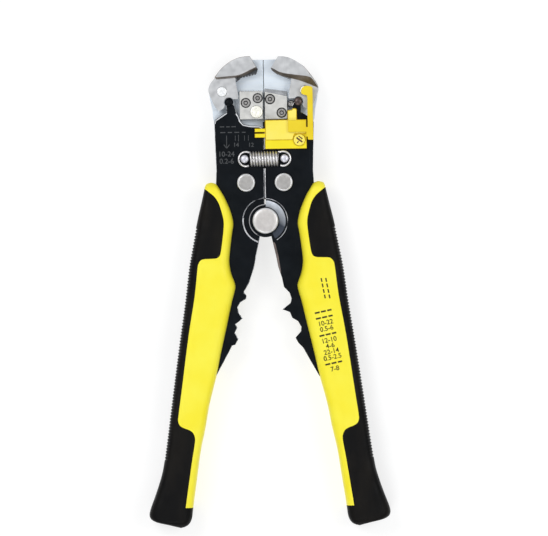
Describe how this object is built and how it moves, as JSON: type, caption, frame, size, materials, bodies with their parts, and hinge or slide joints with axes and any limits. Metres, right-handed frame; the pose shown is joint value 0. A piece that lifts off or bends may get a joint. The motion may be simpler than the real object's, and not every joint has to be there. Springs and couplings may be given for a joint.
{
  "type": "wire stripper",
  "caption": "Self-adjusting wire stripping pliers: sprung two-part handles with soft grips, crimping edges below the pivot and a stripping head with a sliding length stop.",
  "frame": {"origin": "middle of the tool's footprint on the surface it lies on", "axes": "+Y along the tool towards the jaws, +Z out of the face with the length stop, +X towards the side of the length stop"},
  "size_m": [0.1052, 0.2052, 0.019],
  "materials": {
    "black_plate": "satin black",
    "yellow_core": "satin lemon yellow",
    "black_rubber": "matt",
    "yellow_stop": "semi-gloss yellow",
    "frame_steel": "bright plated",
    "jaw_steel": "satin ground",
    "blade_steel": "hardened, darker",
    "rivet_steel": "turned",
    "spring_steel": "drawn wire"
  },
  "bodies": {
    "left_handle": {"left_plate_front": "black_plate", "left_plate_rear": "black_plate", "left_grip_core": "yellow_core", "left_grip_rubber": "black_rubber", "main_pivot_rivet": "rivet_steel", "pivot_spacer": "rivet_steel", "left_link_rivet": "rivet_steel", "left_link_washer": "rivet_steel", "left_spring_post": "rivet_steel", "tension_spring": "spring_steel"},
    "right_handle": {"right_plate_front": "black_plate", "right_plate_rear": "black_plate", "right_grip_core": "yellow_core", "right_grip_rubber": "black_rubber", "right_link_rivet": "rivet_steel", "right_link_washer": "rivet_steel", "right_spring_post": "rivet_steel", "stop_rail": "jaw_steel"},
    "left_jaw_frame": {"left_frame_plate": "frame_steel", "left_lower_jaw": "jaw_steel", "left_jaw_screw_outer": "rivet_steel", "left_jaw_screw_inner": "rivet_steel", "centre_rivet": "rivet_steel", "left_jaw_pin": "rivet_steel", "left_pin_washer": "rivet_steel"},
    "right_jaw_frame": {"right_frame_plate": "frame_steel", "right_lower_jaw": "jaw_steel", "lower_blade": "blade_steel", "right_jaw_screw_upper": "rivet_steel", "right_jaw_screw_lower": "rivet_steel", "right_frame_screw": "rivet_steel", "right_jaw_pin": "rivet_steel", "right_pin_washer": "rivet_steel"},
    "left_upper_jaw": {"left_cheek_front": "jaw_steel", "left_cheek_rear": "jaw_steel", "left_block_front": "jaw_steel", "left_block_rear": "jaw_steel", "left_jaw_tie": "rivet_steel", "upper_grip_teeth": "blade_steel"},
    "right_upper_jaw": {"right_cheek_front": "jaw_steel", "right_cheek_rear": "jaw_steel", "right_block_front": "jaw_steel", "right_block_rear": "jaw_steel", "right_jaw_tie": "rivet_steel", "upper_blade_holder": "blade_steel", "upper_blade": "blade_steel"},
    "length_stop": {"stop_body": "yellow_stop", "stop_arm": "yellow_stop", "stop_screw": "yellow_stop"}
  },
  "joints": [
    {"name": "handle_squeeze", "type": "hinge", "parent": "left_handle", "child": "right_handle", "pos_m": [0, 0.0308, 0.0095], "axis": [0, 0, -1], "range_deg": [0, 26], "stiffness_Nm_per_rad": 1, "springref_deg": -17.19, "deforming": ["tension_spring"]},
    {"name": "left_frame_swing", "type": "hinge", "parent": "left_handle", "child": "left_jaw_frame", "pos_m": [-0.0082, 0.0475, 0.0095], "axis": [0, 0, -1], "range_deg": [0, 3.88]},
    {"name": "right_frame_swing", "type": "hinge", "parent": "right_handle", "child": "right_jaw_frame", "pos_m": [0.0082, 0.0475, 0.0095], "axis": [0, 0, 1], "range_deg": [0, 3.88]},
    {"name": "left_jaw_close", "type": "hinge", "parent": "left_jaw_frame", "child": "left_upper_jaw", "pos_m": [-0.0181, 0.0873, 0.0095], "axis": [0, 0, -1], "range_deg": [0, 25.62]},
    {"name": "right_jaw_close", "type": "hinge", "parent": "right_jaw_frame", "child": "right_upper_jaw", "pos_m": [0.0181, 0.0873, 0.0095], "axis": [0, 0, 1], "range_deg": [0, 25.62]},
    {"name": "stop_slide", "type": "slide", "parent": "right_handle", "child": "length_stop", "axis": [-1, 0, 0], "range_m": [0, 0.012]}
  ],
  "couplings": [
    {"joint": "left_frame_swing", "follows": "handle_squeeze", "ratio": 0.1488},
    {"joint": "right_frame_swing", "follows": "handle_squeeze", "ratio": 0.1488},
    {"joint": "left_jaw_close", "follows": "handle_squeeze", "ratio": 0.985},
    {"joint": "right_jaw_close", "follows": "handle_squeeze", "ratio": 0.985}
  ]
}
